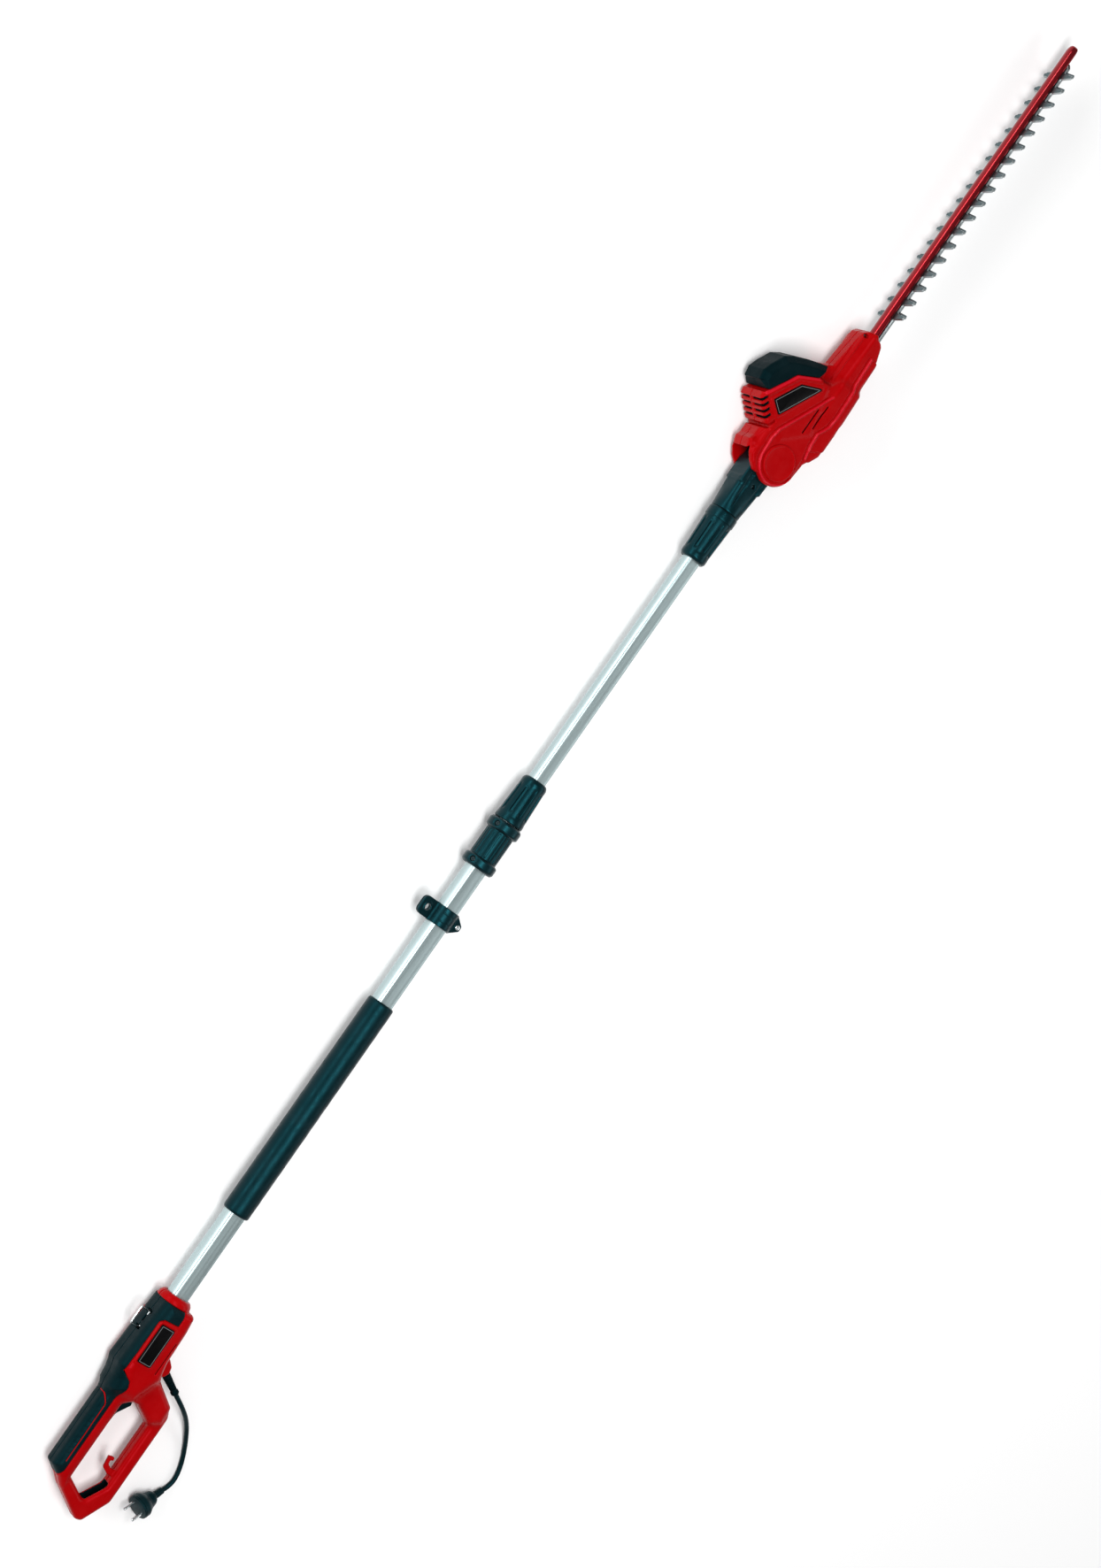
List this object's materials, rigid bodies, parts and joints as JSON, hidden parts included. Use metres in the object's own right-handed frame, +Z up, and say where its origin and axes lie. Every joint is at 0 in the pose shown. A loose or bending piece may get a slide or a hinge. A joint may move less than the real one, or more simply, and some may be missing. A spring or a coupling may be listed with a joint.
{
  "type": "pole hedge trimmer",
  "caption": "Corded electric pole hedge trimmer: looped rear handle, telescopic aluminium pole with foam grip, and a tilting motor head that drives a double-sided cutter bar.",
  "frame": {"origin": "on the surface that the tool lies on, under the middle of the tool's bounding box without its cord", "axes": "+X along the pole from the rear handle to the blade tip, +Y to the tool's top, which is the motor side, +Z up, out of the tool's side face"},
  "size_m": [2.5392, 0.2933, 0.068],
  "materials": {
    "red_shell": "satin",
    "black_plastic": "satin",
    "soft_black": "matte",
    "foam_black": "matte",
    "label_black": "gloss",
    "tube_aluminium": "satin",
    "cutter_steel": "satin",
    "bright_steel": "polished",
    "copper_winding": "satin",
    "red_bar": "gloss"
  },
  "bodies": {
    "handle_and_pole": {"handle_shell_near": "red_shell", "handle_shell_far": "red_shell", "grip_skin_near": "soft_black", "grip_skin_far": "soft_black", "switch_block": "black_plastic", "handle_label_near": "label_black", "handle_label_far": "label_black", "handle_screw_1": "cutter_steel", "handle_screw_2": "cutter_steel", "handle_screw_3": "cutter_steel", "strain_relief": "black_plastic", "power_cord": "soft_black", "mains_plug": "soft_black", "plug_pin_1": "bright_steel", "plug_pin_2": "bright_steel", "outer_tube": "tube_aluminium", "foam_grip": "foam_black", "spiral_cable": "soft_black", "strap_clamp_near": "black_plastic", "strap_clamp_far": "black_plastic", "strap_clamp_screw": "bright_steel", "strap_clamp_nut": "bright_steel", "collar_sleeve": "black_plastic", "collar_screw_1": "cutter_steel", "collar_screw_2": "cutter_steel", "collar_collet": "black_plastic"},
    "trigger": {"trigger": "black_plastic"},
    "lock_off_button": {"lock_off_button": "black_plastic"},
    "strap_ring": {"strap_ring": "bright_steel"},
    "collar_nut": {"collar_nut": "black_plastic"},
    "upper_pole": {"inner_tube": "tube_aluminium", "head_yoke": "black_plastic", "yoke_screw": "cutter_steel", "pivot_pin": "bright_steel"},
    "union_nut": {"head_union_nut": "black_plastic"},
    "head": {"head_shell_near": "red_shell", "head_shell_far": "red_shell", "motor_cap": "black_plastic", "pivot_cover_near": "red_shell", "pivot_cover_far": "red_shell", "head_label_near": "label_black", "head_label_far": "label_black", "head_screw_1": "cutter_steel", "head_screw_2": "cutter_steel", "nose_screw": "cutter_steel", "motor_stator": "cutter_steel", "gearbox_plate": "bright_steel", "blade_bar": "red_bar", "blade_screw_1": "bright_steel", "blade_screw_2": "bright_steel", "blade_screw_3": "bright_steel", "blade_screw_4": "bright_steel"},
    "tilt_lock_button": {"tilt_lock_button": "black_plastic"},
    "motor_shaft": {"motor_rotor": "copper_winding", "motor_fan": "black_plastic", "motor_pinion": "cutter_steel"},
    "drive_gear": {"drive_gear": "cutter_steel"},
    "upper_blade": {"upper_blade": "cutter_steel"},
    "lower_blade": {"lower_blade": "cutter_steel"}
  },
  "joints": [
    {"name": "telescope", "type": "slide", "parent": "handle_and_pole", "child": "upper_pole", "axis": [1, 0, 0], "range_m": [-0.36, 0]},
    {"name": "collar_twist", "type": "hinge", "parent": "handle_and_pole", "child": "collar_nut", "pos_m": [-0.0953, 0.0015, 0.034], "axis": [1, 0, 0], "range_deg": [0, 90]},
    {"name": "union_nut_twist", "type": "hinge", "parent": "upper_pole", "child": "union_nut", "pos_m": [0.368, 0.0015, 0.034], "axis": [1, 0, 0], "range_deg": [0, 120]},
    {"name": "head_tilt", "type": "hinge", "parent": "upper_pole", "child": "head", "pos_m": [0.50875, -0.0065, 0.034], "axis": [0, 0, 1], "range_deg": [-75, 15]},
    {"name": "tilt_lock_press", "type": "slide", "parent": "head", "child": "tilt_lock_button", "axis": [0, 0, 1], "range_m": [0, 0.0025], "stiffness_N_per_m": 400, "springref_m": -0.005},
    {"name": "trigger_pull", "type": "hinge", "parent": "handle_and_pole", "child": "trigger", "pos_m": [-1.16275, -0.0105, 0.034], "axis": [0, 0, 1], "range_deg": [0, 5], "stiffness_Nm_per_rad": 1, "springref_deg": -8.59},
    {"name": "lock_off_press", "type": "slide", "parent": "handle_and_pole", "child": "lock_off_button", "axis": [0, 0, 1], "range_m": [0, 0.0025], "stiffness_N_per_m": 400, "springref_m": -0.005},
    {"name": "strap_ring_swing", "type": "hinge", "parent": "handle_and_pole", "child": "strap_ring", "pos_m": [-0.98625, 0.0235, 0.034], "axis": [1, 0, 0], "range_deg": [-45, 45]},
    {"name": "motor_turn", "type": "hinge", "parent": "head", "child": "motor_shaft", "pos_m": [0.55675, -0.0235, 0.034], "axis": [0.5, 0.866, 0], "range_deg": [-550, 350]},
    {"name": "gear_turn", "type": "hinge", "parent": "head", "child": "drive_gear", "pos_m": [0.58575, -0.035, 0.034], "axis": [0, 1, 0], "range_deg": [-70, 110]},
    {"name": "upper_blade_stroke", "type": "slide", "parent": "head", "child": "upper_blade", "axis": [1, 0, 0], "range_m": [-0.00494, 0.00777]},
    {"name": "lower_blade_stroke", "type": "slide", "parent": "head", "child": "lower_blade", "axis": [1, 0, 0], "range_m": [-0.00777, 0.00494]}
  ],
  "couplings": [
    {"joint": "gear_turn", "follows": "motor_turn", "ratio": -0.2},
    {"joint": "upper_blade_stroke", "follows": "motor_turn", "m_per_rad": -0.0008085},
    {"joint": "lower_blade_stroke", "follows": "motor_turn", "m_per_rad": 0.0008085}
  ]
}
